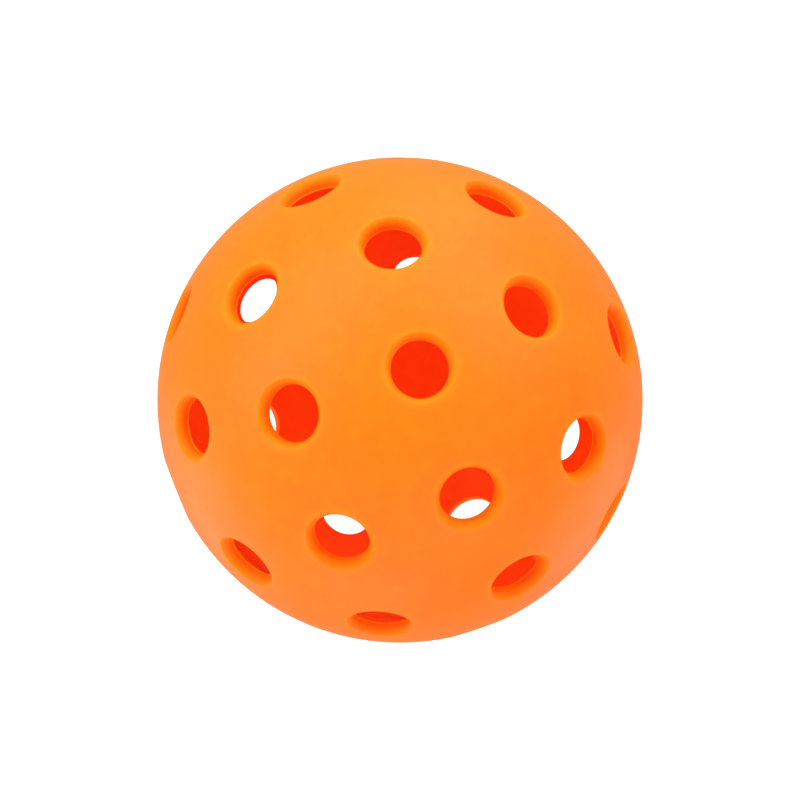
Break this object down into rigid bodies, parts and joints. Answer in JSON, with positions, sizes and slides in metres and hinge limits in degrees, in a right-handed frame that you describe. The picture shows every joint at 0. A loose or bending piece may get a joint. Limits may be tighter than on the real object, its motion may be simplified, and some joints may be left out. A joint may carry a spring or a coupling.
{
  "type": "pickleball ball",
  "caption": "Hollow perforated plastic ball for pickleball: two welded half shells with rings of round, soft-edged holes.",
  "frame": {"origin": "centre of the ball", "axes": "+Z along the pole axis through the middle of the upper half, with the seam in the plane Z = 0; +X through one of the four holes nearest to the upper pole"},
  "size_m": [0.074, 0.074, 0.074],
  "materials": {
    "shell": "satin",
    "weld": "satin"
  },
  "bodies": {
    "root": {"upper_half": "shell", "lower_half": "shell", "weld_bead": "weld"}
  },
  "joints": []
}
